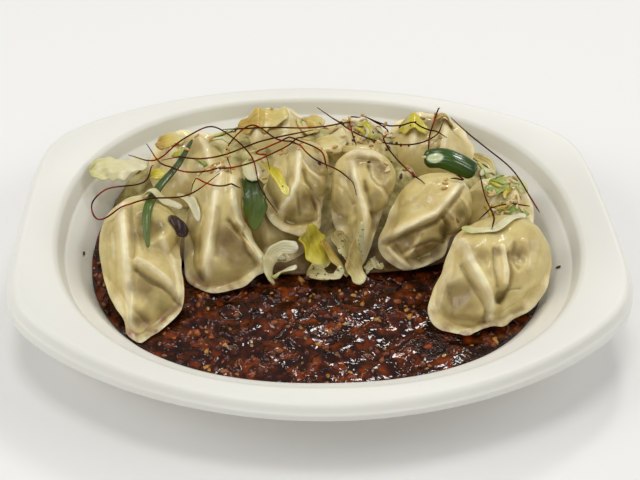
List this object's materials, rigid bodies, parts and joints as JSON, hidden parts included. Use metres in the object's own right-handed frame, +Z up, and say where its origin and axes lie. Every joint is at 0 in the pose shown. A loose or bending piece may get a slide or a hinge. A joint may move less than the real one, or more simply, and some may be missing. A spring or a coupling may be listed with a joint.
{
  "type": "bowl of dumplings",
  "caption": "Wide oval disposable bowl of spicy boiled dumplings with pleated tops, heaped behind a pool of dark chili sauce, with cabbage, scallion, sesame and chili threads.",
  "frame": {"origin": "middle of the bowl's flat foot, on the table, below the middle of the whole", "axes": "+Z up out of the bowl, +X along the bowl's long way, +Y towards the back where the dumplings are heaped"},
  "size_m": [0.2692, 0.2154, 0.06],
  "materials": {
    "bowl": "satin",
    "dumpling_dough": "moist, softly glossy",
    "chili_sauce": "wet",
    "cabbage": "moist",
    "cabbage_yellow": "moist",
    "scallion": "moist",
    "dried_chili": "dry"
  },
  "bodies": {
    "root": {"bowl": "bowl", "cabbage_fold": "cabbage", "cabbage_heap": "cabbage", "cabbage_leaf_1": "cabbage", "cabbage_leaf_10": "cabbage", "cabbage_leaf_2": "cabbage_yellow", "cabbage_leaf_3": "cabbage", "cabbage_leaf_4": "cabbage", "cabbage_leaf_5": "cabbage", "cabbage_leaf_6": "cabbage_yellow", "cabbage_leaf_7": "cabbage", "cabbage_leaf_8": "cabbage_yellow", "cabbage_leaf_9": "cabbage", "cabbage_rib": "cabbage", "cabbage_rib_2": "cabbage", "cabbage_shred_1": "cabbage_yellow", "cabbage_shred_2": "cabbage_yellow", "cabbage_shred_3": "cabbage", "cabbage_shred_4": "cabbage_yellow", "cabbage_shred_5": "cabbage", "cabbage_strip_1": "cabbage_yellow", "cabbage_strip_2": "cabbage", "cabbage_strip_3": "cabbage", "cabbage_strip_4": "cabbage", "chili_piece": "dried_chili", "chili_thread_1": "dried_chili", "chili_thread_10": "dried_chili", "chili_thread_11": "dried_chili", "chili_thread_12": "dried_chili", "chili_thread_13": "dried_chili", "chili_thread_14": "dried_chili", "chili_thread_15": "dried_chili", "chili_thread_16": "dried_chili", "chili_thread_17": "dried_chili", "chili_thread_2": "dried_chili", "chili_thread_3": "dried_chili", "chili_thread_4": "dried_chili", "chili_thread_5": "dried_chili", "chili_thread_6": "dried_chili", "chili_thread_7": "dried_chili", "chili_thread_8": "dried_chili", "chili_thread_9": "dried_chili", "dumpling_1": "dumpling_dough", "dumpling_10": "dumpling_dough", "dumpling_11": "dumpling_dough", "dumpling_12": "dumpling_dough", "dumpling_2": "dumpling_dough", "dumpling_3": "dumpling_dough", "dumpling_4": "dumpling_dough", "dumpling_5": "dumpling_dough", "dumpling_6": "dumpling_dough", "dumpling_7": "dumpling_dough", "dumpling_8": "dumpling_dough", "dumpling_9": "dumpling_dough", "sauce": "chili_sauce", "scallion_blade": "scallion", "scallion_curl": "scallion", "scallion_leaf": "scallion", "scallion_shred": "scallion"}
  },
  "joints": []
}
